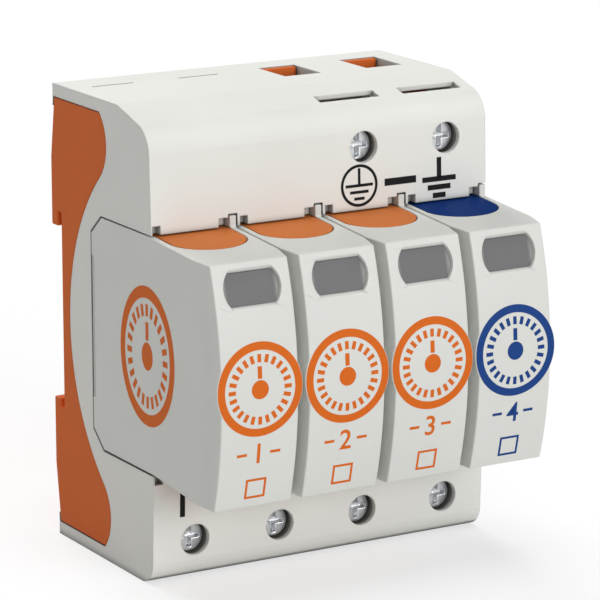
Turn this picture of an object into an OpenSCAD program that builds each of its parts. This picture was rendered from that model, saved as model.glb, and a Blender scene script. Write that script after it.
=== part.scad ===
// Plug-in surge arrester for a 35 mm DIN rail: three varistor plugs and one spark gap plug
// in a four-module base. Millimetres. X runs along the rail, -Y is the front, +Z is up.
// The origin is the middle of the rail seat, the face that lies on the rail.

/* [Base] */
// Module pitch along the rail
pole_pitch = 17.5; // [17.5:0.1:18.5]
// Room left to the neighbouring devices, both sides together
side_room = 0.4; // [0.2:0.1:0.8]
// Height of the base
body_h = 85.4; // [84:0.2:90]
// Rail seat to the front of the terminal blocks
shoulder_depth = 34.9; // [34:0.1:37]
// How far the terminal blocks lean back towards top and bottom
front_draft = 0.6; // [0:0.1:1]
// Where the grey top and bottom lips end behind the rail seat
lip_end = 2.6; // [1.5:0.1:3.2]
// Side, front and bay walls of the housing
wall = 1.8; // [1.6:0.1:2]
// Top and bottom walls of the housing
cover_wall = 2.2; // [1.8:0.1:2.6]
// Partition between two modules
partition = 1.2; // [1:0.1:1.6]
// Start of the sloped band on top, measured back from the front
slope_run = 12.3; // [10:0.1:14]
// Height that the sloped band loses
slope_drop = 3.3; // [2.5:0.1:4]
// Radius of the upper front edge
crown_r = 5.5; // [4:0.1:6]
// Radius of the lower front edge
foot_r = 4.3; // [2:0.1:5]
// Gap of the seam between housing and carrier
seam = 0.15; // [0.1:0.05:0.3]

/* [Plug bay] */
// Clear height of the bay between the terminal blocks
bay_h = 43.7; // [43:0.1:45]
// Height of the bay's middle above the rail's middle
bay_z = -0.4; // [-1:0.1:0.5]
// Rail seat to the bay's rear wall
bay_depth = 11.8; // [11.6:0.1:12.6]
// Walls between the bay and the terminal rooms
bay_wall = 1.6; // [1.4:0.1:1.6]
// Depth of the slanted rear corners of bay and plug
corner_y = 4; // [3:0.1:5]
// Height of the slanted rear corners of bay and plug
corner_z = 3.4; // [2.5:0.1:4.5]
// Width of the notches in the block edges beside each plug
notch_w = 1.6; // [1.2:0.1:2]
// Height of the notches
notch_h = 1.6; // [1.2:0.1:2]
// Depth of the notches
notch_d = 1.7; // [1.2:0.1:2]
// Strip left between a module's edge and its first notch
notch_inset = 0.5; // [0.3:0.1:0.8]
// Width of the tongue between the two notches of a module
tongue_w = 11.6; // [11:0.1:12]

/* [Rail and carrier] */
// Width of the rail
rail_w = 35; // [34.8:0.1:35.2]
// Room between rail edge and slot
rail_room = 0.4; // [0.3:0.1:0.8]
// Thickness of the slot that takes the rail's flange
rail_slot = 1.5; // [1.3:0.1:1.8]
// How far each lip reaches behind the rail
lip_cover = 1.2; // [0.8:0.1:1.5]
// Extra depth of the upper slot, for tilting the base on
tilt_room = 1.2; // [1:0.1:1.6]
// Rail seat to the rear of the carrier
rear_depth = 3.8; // [3.6:0.1:4.4]
// How far the rear tapers forward towards top and bottom
rear_taper = 1.6; // [1:0.1:2]
// Height of that taper, from the base's top and underside
taper_run = 13.7; // [11.7:0.5:16.7]
// Walls of the carrier
carrier_wall = 1.8; // [1.6:0.1:2]
// Rail seat to the front of the wall behind the wire chambers
chamber_back = 4.2; // [4:0.1:4.6]
// Radius of the round lobes of the carrier's cheeks
lobe_r = 8; // [7:0.1:9]
// Rail seat to the lobes' centre
lobe_y = 10.2; // [9:0.1:11]
// Lobes' centre to the base's top or underside
lobe_inset = 8.3; // [7.3:0.1:9.3]
// Rail seat to the cheeks' front edge at the waist between the lobes
waist_depth = 3; // [2:0.1:5]

/* [Rail latches] */
// Width of a latch
latch_w = 13; // [11:0.5:14]
// Distance of a latch from the middle
latch_x = 17.5; // [16:0.5:18]
// Travel of a latch
latch_travel = 3.2; // [3:0.1:3.4]
// Running clearance around a latch
latch_room = 0.2; // [0.15:0.05:0.3]
// How far a latch reaches in front of the rail seat
latch_lead = 0.8; // [0.6:0.1:1]
// How far a latch stays in front of the carrier's rear
latch_inset = 0.3; // [0.2:0.1:0.5]
// Step from the rail slot down to a latch's shoulder
latch_step = 1.4; // [1.2:0.1:1.6]
// Height of a latch's pull above the underside
pull_rise = 0.4; // [0.3:0.1:0.8]
// Web of the latch below the spring's window
latch_web = 0.5; // [0.4:0.1:0.8]
// Width of the driver slot in a latch's pull
driver_slot_w = 6; // [5:0.5:7]
// Height of the driver slot
driver_slot_h = 1.4; // [1.2:0.1:1.5]
// Rim below the driver slot
slot_rim = 0.9; // [0.7:0.1:1]
// Bar of the latch above the spring
spring_drop = 5; // [4.5:0.1:5.5]
// Height of the post that the spring stands on
post_h = 2.4; // [2.2:0.1:2.6]
// Room around the latch spring
spring_room = 0.5; // [0.4:0.1:0.6]
// Wire of the latch spring
spring_wire = 0.5; // [0.4:0.05:0.6]
// Mean radius of the latch spring
spring_r = 1.4; // [1.2:0.1:1.5]
// Turns of the latch spring
spring_turns = 6; // [5:1:8]

/* [Terminals] */
// Diameter of the screw openings
hole_d = 5.74; // [5.6:0.02:5.9]
// Shoulder to the wider well behind a screw opening
hole_mouth = 1.4; // [1.3:0.1:1.5]
// Diameter of that well
well_d = 7; // [6.8:0.1:7.2]
// Upper screws below the base's top
upper_screw_inset = 9.9; // [9.3:0.1:10.3]
// Lower screws above the base's underside
lower_screw_inset = 7.5; // [7.3:0.1:7.9]
// Recess of the screw heads behind the front
head_recess = 2.8; // [2.4:0.1:3]
// Diameter of the screw heads
head_d = 5.5; // [5.3:0.05:5.55]
// Height of the screw heads
head_h = 4; // [3.8:0.1:4.2]
// Diameter of the screw shanks
screw_d = 4.9; // [4.7:0.1:5]
// Radial clearance of the shank in cage and guide
screw_room = 0.06; // [0.04:0.01:0.1]
// Draw of the clamp cage from open to closed
cage_travel = 4.8; // [4.4:0.1:4.8]
// Outer width of a clamp cage
cage_w = 10.4; // [10:0.1:11]
// Height of a clamp cage
cage_h = 9; // [8.4:0.1:9.4]
// Wall of a clamp cage
cage_wall = 1.4; // [1.2:0.1:1.6]
// Threaded front wall of a clamp cage
cage_nut = 2.6; // [2.4:0.1:2.8]
// Room behind a clamp cage
cage_room = 0.7; // [0.5:0.1:0.8]
// Ledge that a screw head turns on
ledge_t = 2.3; // [2.2:0.1:2.4]
// Wall of the screw guides
tube_wall = 1.2; // [1:0.1:1.3]
// Cage wall to contact bar, with the cage open
bar_step = 1.5; // [1.3:0.1:1.6]
// Screw tip to contact bar
tip_gap = 0.4; // [0.3:0.1:0.5]
// Width of a wire entry
entry_w = 7.6; // [7:0.1:7.8]
// Depth of a wire entry from front to back
entry_l = 8.6; // [8:0.1:9]
// Rail seat to the back edge of a wire entry
entry_back = 4.5; // [4.4:0.1:5]
// Thickness of the carrier's tongue behind a wire entry
tongue_t = 1.2; // [1:0.1:1.3]
// How far that tongue reaches down the carrier's front
tongue_h = 2; // [1.5:0.1:2.2]
// Thickness of the contact bars
bar_t = 1.4; // [1.2:0.1:1.6]
// Width of the contact bars
bar_w = 7; // [6:0.2:7.4]

/* [Plugs] */
// Gap between two plugs
plug_gap = 0.45; // [0.4:0.05:0.8]
// Gap between a plug and the bay
bay_room = 0.3; // [0.25:0.05:0.5]
// Rail seat to the foremost point of a plug
nose_depth = 58.1; // [56:0.1:60]
// Radius of the bowed front
bow_r = 72; // [60:1:90]
// Height of the bow's centre above the rail's middle
bow_z = -3.6; // [-5:0.1:-2]
// Fall of a plug's top from the shoulder to its front
top_fall = 0.9; // [0.4:0.1:1.4]
// Fall of a plug's bottom from the shoulder to its front
bottom_fall = 1.9; // [1:0.1:2]
// Width of the bevels beside the front
bevel_w = 0.95; // [0.6:0.05:1.2]
// Depth of these bevels
bevel_d = 4.3; // [3:0.1:5]
// Height of the round boss above the rail's middle
boss_z = -1.95; // [-4:0.05:0]
// Wall of a plug's sides
plug_wall = 1.1; // [1:0.05:1.3]
// Wall of a plug's top and bottom
lid_wall = 1.5; // [1.3:0.1:1.8]
// Wall of a plug's front
front_wall = 2.2; // [2:0.1:2.5]
// Gap around a tray's pads
pad_gap = 0.2; // [0.15:0.05:0.3]
// Rail seat to the foremost point of a pad
pad_reach = 47.7; // [45:0.1:49]
// Width of the guide tab on a plug
tab_w = 1.35; // [1.2:0.05:1.5]
// Height of the guide tab
tab_h = 2.2; // [2:0.1:2.6]
// Length of the guide tab
tab_l = 8; // [6:0.5:9]
// Radius of the window's round sides
window_r = 5.6; // [5:0.1:6]
// Height of the window
window_h = 6.6; // [6:0.1:7]
// Window's middle below the plug's top
window_drop = 5.65; // [5.55:0.05:6.15]
// Height of the bevel above and below the window
window_bevel = 0.7; // [0.4:0.1:1]
// Depth of the lens behind the front
lens_recess = 0.9; // [0.6:0.1:1.2]
// Thickness of the lens
lens_t = 1.3; // [1:0.1:1.5]
// Thickness of the lens's flange
flange_t = 0.6; // [0.5:0.1:0.8]
// How far the flange reaches past the window
flange_w = 0.5; // [0.4:0.1:0.6]
// Thickness of the status flag
flag_t = 1; // [0.8:0.1:1.2]
// Room beside the status flag
flag_room = 0.5; // [0.4:0.1:0.6]
// Travel of the status flag
flag_travel = 6.5; // [6:0.1:7]
// Length of the upright line in a plug's side
line_l = 26.4; // [20:0.2:28]
// Width of that line
line_w = 0.5; // [0.4:0.1:0.8]
// Depth of that line
line_d = 0.4; // [0.3:0.1:0.5]
// Rear of a plug to that line
line_inset = 0.4; // [0.3:0.1:1]
// Middle of that line above the boss
line_rise = 2.4; // [1:0.1:3]
// Rear of a plug to its protective element
element_back = 7.2; // [6.8:0.1:7.6]
// Length of the protective element
element_l = 25; // [22:0.5:26]
// Top of the element below the upper blade's middle
element_drop = 0.9; // [0.8:0.1:1.2]
// Thickness of a blade
blade_t = 1.2; // [1:0.1:1.4]
// Height of a blade
blade_h = 6.4; // [6:0.1:7]
// Distance of the blades from the bay's middle
blade_z = 12; // [11:0.1:12.4]

/* [Hidden] */
$fn = 96;
poles = [1, 2, 3, 4];
line_poles = [1, 2, 3];
earth_poles = [3, 4];
spark_pole = 4;
upper_screws = [5, 6];
sides = [-1, 1];
eps = 0.01;
far = 100;

// Assembly gaps: faces that nearly touch, and pieces beside each other
seat_gap = 0.1;
part_gap = 0.2;

grey = "#c9cac4";
orange = "#d0652b";
blue = "#2f4b78";
copper = "#b87a4b";
steel = "#a9abab";
smoke = "#7f8080";

function pole_x(i) = (i - 2.5) * pole_pitch;
function is_upper(i) = i > len(poles);
function screw_x(i) = is_upper(i) ? pole_x(i - 2) : pole_x(i);
function screw_z(i) = is_upper(i) ? upper_screw_z : -lower_screw_z;
function plug_colour(i) = i == spark_pole ? blue : orange;

// Base sections
body_w = len(poles) * pole_pitch - side_room;
top = body_h / 2;
roof = bay_z + bay_h / 2;
floor_z = bay_z - bay_h / 2;
room_top = top - cover_wall;
room_front = -shoulder_depth + front_draft + wall;
crown = [-shoulder_depth + front_draft, top - slope_drop];
slope_start = -shoulder_depth + slope_run;
slope_angle = atan2(slope_drop, slope_start - crown[0]);
cheek_top = room_top - 2 * seam;
taper_z = top - taper_run;
lobe_z = top - lobe_inset;
waist_lead = waist_depth - lobe_y;
waist_r = (pow(waist_lead, 2) + pow(lobe_z, 2) - pow(lobe_r, 2)) / (lobe_r - waist_lead) / 2;
waist_y = -waist_depth - waist_r;
waist_share = waist_r / (waist_r + lobe_r);
tangent = [waist_y + (-lobe_y - waist_y) * waist_share, lobe_z * waist_share];
lip_z = rail_w / 2 - lip_cover;
slot_z = rail_w / 2 + rail_room;
upper_slot_z = slot_z + tilt_room;

// Latches
latch_front = -latch_lead;
latch_back = rear_depth - latch_inset;
latch_top = -slot_z - latch_step;
latch_bottom = -cheek_top + latch_room;
pull_bottom = -top + pull_rise;
rail_rib = [0.8, 1];
rail_rib_y = 0.6;
stop_room = 0.6;
spring_window = 2 * (spring_r + spring_room) + spring_wire;
spring_top = latch_top - spring_drop;
spring_bottom = latch_bottom + latch_web + stop_room + latch_travel + post_h;
spring_y = (latch_front + latch_back) / 2;

// Terminals, from the front backwards
upper_screw_z = top - upper_screw_inset;
lower_screw_z = top - lower_screw_inset;
head_front = -shoulder_depth + head_recess;
head_back = head_front + head_h;
ledge_front = head_back + seat_gap;
tube_back = ledge_front + ledge_t;
cage_front = tube_back + cage_travel + part_gap;
cage_back = -chamber_back - cage_room;
bar_front = cage_front + cage_nut + bar_step;
bar_back = bar_front + bar_t;
screw_tip = bar_front - tip_gap;
entry_front = -entry_back - entry_l;

// Contacts behind the bay
riser_back = -chamber_back - part_gap;
riser_front = riser_back - bar_t;
socket_front = -bay_depth + bay_wall + 2 * part_gap;
leaf_t = 0.8;
leaf_gap = 0.05;
upper_blade_z = bay_z + blade_z;
lower_blade_z = bay_z - blade_z;
blade_tip = riser_front - 2 * part_gap;
drop_w = 2.4;
drop_gap = 1.6;

// Plugs
plug_w = pole_pitch - plug_gap;
plug_top = roof - bay_room;
plug_bottom = floor_z + bay_room;
plug_rear = -bay_depth - seat_gap;
window_z = plug_top - window_drop;
bow_y = -nose_depth + bow_r;
window_tilt = asin((window_z - bow_z) / bow_r);
cavity_w = plug_w - 2 * plug_wall;
pad_r = cavity_w / 2 - pad_gap;
boss_r = plug_w / 2;
element_rear = plug_rear - element_back;
element_bottom = plug_bottom + lid_wall + part_gap;
element_top = upper_blade_z - element_drop;
lens_back = lens_recess + lens_t + flange_t + seat_gap;
lens_reach = window_z + window_h / 2 + flange_w - bow_z;
flag_front = bow_y - sqrt(pow(bow_r - lens_back, 2) - pow(lens_reach, 2)) + 2 * part_gap;
flag_top = window_z + window_h / 2 - 2 * part_gap;
flag_h = window_h + 3 * part_gap;
flag_half = cavity_w / 2 - flag_room;

// A box between two corners
module block(lo, hi) {
    translate(lo) cube(hi - lo);
}

// A flat shape drawn in depth (first) and height (second), extruded along X about x
module side_prism(w, x = 0) {
    translate([x - w / 2, 0, 0]) rotate([90, 0, 90]) linear_extrude(w) children();
}

// A cylinder along Y from y0 back to y1
module y_rod(r, y0, y1, x, z) {
    translate([x, y0, z]) rotate([-90, 0, 0]) cylinder(r = r, h = y1 - y0);
}

// A convex outline whose corners are rounded by the matching radii. Each arc runs a hair
// past its tangent points, so that it crosses the straight edges cleanly.
function unit(v) = v / norm(v);
function corner_in(pts, i) = pts[(i + len(pts) - 1) % len(pts)] - pts[i];
function corner_out(pts, i) = pts[(i + 1) % len(pts)] - pts[i];
function half_angle(pts, i) = acos(unit(corner_in(pts, i)) * unit(corner_out(pts, i))) / 2;
function round_centre(pts, i, r) = pts[i]
    + unit(unit(corner_in(pts, i)) + unit(corner_out(pts, i))) * r / sin(half_angle(pts, i));
function corner_cap(pts, i, r) = let(
    a = pts[i] + unit(corner_in(pts, i)) * r / tan(half_angle(pts, i)),
    b = pts[i] + unit(corner_out(pts, i)) * r / tan(half_angle(pts, i)),
    run = unit(b - a) * r,
    out = unit(pts[i] - round_centre(pts, i, r)) * 2 * r
) [a - run, a - run + out, b + run + out, b + run];
module rounded_outline(pts, radii) {
    difference() {
        polygon(pts);
        for (i = [0:len(pts) - 1])
            if (radii[i] > 0) difference() {
                polygon(corner_cap(pts, i, radii[i]));
                translate(round_centre(pts, i, radii[i])) circle(r = radii[i] + eps);
            }
    }
}

module housing_outline() {
    rounded_outline(
        [
            [lip_end, top], [slope_start, top], crown, [-shoulder_depth, roof],
            [-shoulder_depth, floor_z], [-shoulder_depth + front_draft, -top], [lip_end, -top]
        ],
        [0, 0, crown_r, 0, 0, foot_r, 0]
    );
}

// Outline of the plug space in depth and height, drawn in by d
function corner_len() = norm([corner_y, corner_z]);
function plug_points(rear, z0, z1, falls, front, d) = [
    [front, z1 - falls[0] - d],
    [-shoulder_depth, z1 - d],
    [rear - corner_y + d * (corner_y - corner_len()) / corner_z, z1 - d],
    [rear - d, z1 - corner_z + d * (corner_z - corner_len()) / corner_y],
    [rear - d, z0 + corner_z - d * (corner_z - corner_len()) / corner_y],
    [rear - corner_y + d * (corner_y - corner_len()) / corner_z, z0 + d],
    [-shoulder_depth, z0 + d],
    [front, z0 - falls[1] + d]
];

module bay_outline(d = 0) {
    polygon(plug_points(-bay_depth, floor_z, roof, [0, 0], -far, d));
}

// Front edge of the cheeks: two lobes and the waist tangent to both
module carrier_zone(grow = 0) {
    intersection() {
        polygon([
            [-far, cheek_top + grow], [rear_depth - rear_taper + grow, cheek_top + grow],
            [rear_depth + grow, taper_z], [rear_depth + grow, -taper_z],
            [rear_depth - rear_taper + grow, -cheek_top - grow], [-far, -cheek_top - grow]
        ]);
        union() {
            difference() {
                polygon([
                    [-lobe_y, lobe_z], tangent, [tangent[0], -tangent[1]], [-lobe_y, -lobe_z],
                    [-lobe_y, -far], [far, -far], [far, far], [-lobe_y, far]
                ]);
                translate([waist_y, 0]) circle(r = waist_r - grow);
            }
            for (s = sides) translate([-lobe_y, s * lobe_z]) circle(r = lobe_r + grow);
        }
    }
}

// The rail's recess: open at the rear, with a slot behind each lip
module rail_recess() {
    polygon([
        [far, lip_z], [rail_slot, lip_z], [rail_slot, upper_slot_z], [0, upper_slot_z],
        [0, -slot_z], [rail_slot, -slot_z], [rail_slot, -lip_z], [far, -lip_z]
    ]);
}

// Rooms inside the terminal blocks; they open backwards
module terminal_room(side) {
    z0 = side > 0 ? roof + bay_wall : -room_top;
    z1 = side > 0 ? room_top : floor_z - bay_wall;
    slope_in = cover_wall * tan(slope_angle / 2);
    difference() {
        translate([room_front, z0]) square([far, z1 - z0]);
        if (side > 0)
            polygon([
                [slope_start + slope_in, room_top],
                [crown[0], room_top - tan(slope_angle) * (slope_start + slope_in - crown[0])],
                [crown[0], top]
            ]);
    }
}

module housing_shell() {
    difference() {
        side_prism(body_w) difference() {
            housing_outline();
            bay_outline();
        }
        for (side = sides) side_prism(body_w - 2 * wall) terminal_room(side);
        side_prism(body_w - 2 * wall)
            translate([-bay_depth + bay_wall, -room_top]) square([far, 2 * room_top]);
        side_prism(body_w + 2 * eps) carrier_zone(seam);
    }
}

// Walls between the modules, in front of the carrier
module housing_partitions() {
    for (i = [1:len(poles) - 1]) side_prism(partition, pole_x(i) + pole_pitch / 2) {
        for (side = sides) intersection() {
            terminal_room(side);
            translate([-far, -far]) square([far - chamber_back - seam, 2 * far]);
        }
    }
}

module screw_tube(i) {
    y_rod(well_d / 2 + tube_wall, room_front - wall / 2, tube_back, screw_x(i), screw_z(i));
}

module screw_bore(i) {
    y_rod(hole_d / 2, -far, head_front, screw_x(i), screw_z(i));
    y_rod(well_d / 2, -shoulder_depth + hole_mouth, ledge_front, screw_x(i), screw_z(i));
    y_rod(screw_d / 2 + screw_room, -far, tube_back + eps, screw_x(i), screw_z(i));
}

// Left side of the slot that the guide tab of a plug slides in
function tab_left(i) = pole_x(i) + plug_w / 2 - tab_w - bay_room;

// Notches of one module in the edge of the block above or below the plug; the right one of
// the upper two opens into the slot of the guide tab
module edge_notches(i, side) {
    edge = side > 0 ? roof : floor_z;
    left = pole_x(i) - pole_pitch / 2 + notch_inset;
    right = left + notch_w + tongue_w;
    for (x = [[left, left + notch_w], [right, side > 0 ? tab_left(i) + eps : right + notch_w]])
        block(
            [x[0], -shoulder_depth - eps, edge - (side > 0 ? eps : notch_h)],
            [x[1], -shoulder_depth + notch_d, edge + (side > 0 ? notch_h : eps)]
        );
}

module tab_slot(i) {
    right = pole_x(i) + plug_w / 2;
    block(
        [tab_left(i), -shoulder_depth - eps, roof - eps],
        [right + plug_gap / 2, -shoulder_depth + tab_l + bay_room, plug_top + tab_h + bay_room]
    );
}

module wire_entry(x, side) {
    z0 = side > 0 ? room_top - eps : -far;
    z1 = side > 0 ? far : -room_top + eps;
    entry_rear = -entry_back + tongue_t + part_gap;
    block([x - entry_w / 2, entry_front, z0], [x + entry_w / 2, entry_rear, z1]);
}

// Test slot in the sloped band above an earth terminal: it opens into a deeper room behind it
module band_slot(x) {
    slot = [12.4, 2.5, 0.9];
    room = [11.6, 5, 6];
    rise = 2;
    centre = [x, (slope_start + crown[0]) / 2, top - slope_drop / 2];
    translate(centre) rotate([slope_angle, 0, 0]) {
        translate([-slot[0] / 2, -slot[1] / 2, -slot[2]]) cube([slot[0], slot[1], slot[2] + rise]);
        translate([-room[0] / 2, -slot[1] / 2, -room[2]])
            cube([room[0], room[1], room[2] - slot[2] + eps]);
    }
}

// Fine line that marks a wire entry left closed
module entry_mark(x) {
    mark = [8.3, 0.5, 0.8];
    block([x - mark[0] / 2, -entry_back - mark[1], top - mark[2]], [x + mark[0] / 2, -entry_back, far]);
}

module blade_slot(x, z) {
    room = 0.4;
    block(
        [x - blade_t / 2 - room, -bay_depth - eps, z - blade_h / 2 - room],
        [x + blade_t / 2 + room, -bay_depth + bay_wall + eps, z + blade_h / 2 + room]
    );
}

module latch_notch(x) {
    half = latch_w / 2 + 2 * latch_room;
    block([x - half, latch_front - 2 * latch_room, -far], [x + half, far, -room_top + eps]);
}

module base_housing() {
    color(grey) difference() {
        union() {
            housing_shell();
            housing_partitions();
            for (i = concat(poles, upper_screws)) screw_tube(i);
        }
        for (i = concat(poles, upper_screws)) screw_bore(i);
        for (i = poles, side = sides) edge_notches(i, side);
        for (i = poles) tab_slot(i);
        for (i = poles) wire_entry(pole_x(i), -1);
        for (i = poles, z = [upper_blade_z, lower_blade_z]) blade_slot(pole_x(i), z);
        for (i = line_poles) if (i != earth_poles[0]) entry_mark(pole_x(i));
        for (i = earth_poles) {
            wire_entry(pole_x(i), 1);
            band_slot(pole_x(i));
        }
        for (s = sides) latch_notch(s * latch_x);
        earth_link(bay_room);
    }
}

// Section of the carrier between its cheeks: seat, hooks and the hollow beams above and below
module carrier_section() {
    intersection() {
        carrier_zone();
        difference() {
            union() {
                translate([-carrier_wall, -upper_slot_z]) square([carrier_wall, 2 * upper_slot_z]);
                for (s = sides) mirror([0, s > 0 ? 0 : 1])
                    translate([-chamber_back, lip_z]) square([far, cheek_top - lip_z]);
            }
            rail_recess();
            for (s = sides) mirror([0, s > 0 ? 0 : 1]) {
                translate([-chamber_back + carrier_wall, upper_slot_z + carrier_wall])
                    square([
                        chamber_back + rear_depth - rear_taper - 2 * carrier_wall,
                        cheek_top - upper_slot_z - 2 * carrier_wall
                    ]);
                translate([-far, 0]) square([far - carrier_wall, upper_slot_z]);
            }
        }
    }
}

module carrier_rib(x, w, side) {
    side_prism(w, x) intersection() {
        carrier_zone();
        mirror([0, side > 0 ? 0 : 1])
            translate([-chamber_back, upper_slot_z]) square([far, cheek_top - upper_slot_z]);
    }
}

// Solid pocket block for one latch, with two rails that hold it
module latch_pocket(x) {
    half = latch_w / 2 + latch_room;
    difference() {
        block([x - half, latch_front - latch_room, -far], [x + half, far, latch_top + 4 * latch_room]);
        for (s = sides)
            translate([x + s * (half - rail_rib[0] / 2), rail_rib_y + rail_rib[1] / 2, -top])
                cube([rail_rib[0] + eps, rail_rib[1], 2 * (top + latch_top - 1)], center = true);
        translate([x - spring_window / 2 + latch_room, -far, spring_bottom - post_h])
            cube([spring_window - 2 * latch_room, far + latch_back - stop_room, post_h - seat_gap]);
    }
    block([x - half, rail_slot, -far], [x + half, far, -lip_z + eps]);
}

// Tongue that closes the rear of a wire entry
module entry_tongue(x, side) {
    half = entry_w / 2 - part_gap;
    z = [cheek_top - tongue_h, top - seat_gap];
    block(
        [x - half, -entry_back, side > 0 ? z[0] : -z[1]],
        [x + half, -entry_back + tongue_t, side > 0 ? z[1] : -z[0]]
    );
}

module rail_carrier() {
    color(orange) difference() {
        union() {
            for (s = sides) side_prism(wall, s * (body_w - wall) / 2) difference() {
                carrier_zone();
                rail_recess();
            }
            side_prism(body_w - 2 * wall + eps) carrier_section();
            for (side = sides) carrier_rib(0, carrier_wall, side);
            for (s = sides) {
                carrier_rib(s * latch_x, latch_w + 2 * latch_room + 2 * carrier_wall, -1);
                carrier_rib(s * latch_x, carrier_wall, 1);
            }
            for (i = poles) entry_tongue(pole_x(i), -1);
            for (i = earth_poles) entry_tongue(pole_x(i), 1);
        }
        for (s = sides) latch_pocket(s * latch_x);
    }
}

// Slide that hooks behind the rail's lower edge
module rail_latch(s) {
    x = s * latch_x;
    nose_bevel = 1.2;
    pull_inset = 1;
    groove = rail_rib[0] + latch_room;
    color(orange) difference() {
        union() {
            block(
                [x - latch_w / 2, latch_front, latch_bottom],
                [x + latch_w / 2, latch_back, latch_top]
            );
            side_prism(latch_w, x) polygon([
                [rail_slot + seat_gap, latch_top - eps], [rail_slot + seat_gap, -lip_z],
                [latch_back - nose_bevel, -lip_z], [latch_back, -lip_z - nose_bevel],
                [latch_back, latch_top - eps]
            ]);
            block(
                [x - latch_w / 2 + pull_inset, rail_slot, pull_bottom],
                [x + latch_w / 2 - pull_inset, latch_back, latch_bottom + eps]
            );
        }
        block(
            [x - spring_window / 2, -far, spring_bottom - post_h - latch_travel - stop_room],
            [x + spring_window / 2, far, spring_top]
        );
        for (k = sides)
            translate([x + k * (latch_w / 2 + eps - groove / 2), rail_rib_y + rail_rib[1] / 2, -top])
                cube([groove, rail_rib[1] + 2 * latch_room, 2 * top], center = true);
        block(
            [x - driver_slot_w / 2, -far, pull_bottom + slot_rim],
            [x + driver_slot_w / 2, far, pull_bottom + slot_rim + driver_slot_h]
        );
    }
}

// Round wire swept along a coil: rings of points turned about the Z axis
ring_sides = 8;
rings_per_turn = 14;
function coil_ring(k, r, h, n) = let(
    a = 360 * k / rings_per_turn,
    z = h * k / n
) [for (j = [0:ring_sides - 1]) let(b = 360 * j / ring_sides) [
    (r + spring_wire / 2 * cos(b)) * cos(a),
    (r + spring_wire / 2 * cos(b)) * sin(a),
    z + spring_wire / 2 * sin(b)
]];
module coil(r, h, turns) {
    n = turns * rings_per_turn;
    points = [for (k = [0:n]) each coil_ring(k, r, h, n)];
    faces = concat(
        [[for (j = [0:ring_sides - 1]) j]],
        [[for (j = [ring_sides - 1:-1:0]) n * ring_sides + j]],
        [for (k = [0:n - 1], j = [0:ring_sides - 1])
            let(a = k * ring_sides, b = (k + 1) * ring_sides, m = (j + 1) % ring_sides)
            each [[a + j, b + j, b + m], [a + j, b + m, a + m]]]
    );
    polyhedron(points, faces);
}

module latch_spring(s) {
    color(steel) translate([s * latch_x, spring_y, spring_bottom + spring_wire / 2 + seat_gap])
        coil(spring_r, spring_top - spring_bottom - spring_wire - 2 * seat_gap, spring_turns);
}

// Terminals

// Pan head with a cross recess and a plain shank that stands for the fine thread
module terminal_screw(i) {
    recess_w = 0.95;
    recess_l = 4.2;
    recess_d = 1.7;
    tip = 0.5;
    color(steel) difference() {
        union() {
            y_rod(head_d / 2, head_front, head_back, screw_x(i), screw_z(i));
            y_rod(screw_d / 2, head_back - eps, screw_tip - tip, screw_x(i), screw_z(i));
            translate([screw_x(i), screw_tip - tip, screw_z(i)]) rotate([-90, 0, 0])
                cylinder(r1 = screw_d / 2, r2 = screw_d / 2 - tip, h = tip);
        }
        for (size = [[recess_l, recess_w], [recess_w, recess_l]])
            translate([screw_x(i) - size[0] / 2, head_front - eps, screw_z(i) - size[1] / 2])
                cube([size[0], recess_d, size[1]]);
    }
}

module clamp_cage(i) {
    x = screw_x(i);
    z = screw_z(i);
    color(steel) difference() {
        block([x - cage_w / 2, cage_front, z - cage_h / 2], [x + cage_w / 2, cage_back, z + cage_h / 2]);
        block(
            [x - cage_w / 2 + cage_wall, cage_front + cage_nut, z - cage_h],
            [x + cage_w / 2 - cage_wall, cage_back - cage_wall, z + cage_h]
        );
        y_rod(screw_d / 2 + screw_room, -far, cage_front + cage_nut + eps, x, z);
    }
}

// Two leaves that take a blade, on a riser behind them
module blade_socket(i, z) {
    x = pole_x(i);
    inner = blade_t / 2 + leaf_gap;
    block([x - bar_w / 2, riser_front, z - blade_h / 2], [x + bar_w / 2, riser_back, z + blade_h / 2]);
    for (s = sides)
        translate([x + s * (inner + leaf_t / 2), (socket_front + riser_front) / 2, z])
            cube([leaf_t, riser_front - socket_front + 2 * eps, blade_h], center = true);
}

// Where a contact's strip leaves the bay's wall
function strip_z(side) = side > 0 ? roof + bay_wall + part_gap : floor_z - bay_wall - part_gap;

// Bar in the clamp cage and the strip that leads it behind the bay
module terminal_bar(i, side) {
    x = pole_x(i);
    strip = strip_z(side);
    cage_z = side > 0 ? upper_screw_z : -lower_screw_z;
    end = cage_z + side * (cage_h / 2 - part_gap);
    block(
        [x - bar_w / 2, bar_front, min(strip, end)],
        [x + bar_w / 2, bar_back, max(strip, end)]
    );
    block(
        [x - bar_w / 2, bar_front, min(strip, strip + side * bar_t)],
        [x + bar_w / 2, riser_back, max(strip, strip + side * bar_t)]
    );
}

module terminal_riser(i, side) {
    x = pole_x(i);
    strip_end = strip_z(side) + side * bar_t;
    z = side > 0 ? upper_blade_z : lower_blade_z;
    block(
        [x - bar_w / 2, riser_front, min(z, strip_end)],
        [x + bar_w / 2, riser_back, max(z, strip_end)]
    );
}

module line_contact(i) {
    color(copper) union() {
        terminal_bar(i, -1);
        terminal_riser(i, -1);
        blade_socket(i, lower_blade_z);
    }
}

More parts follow.
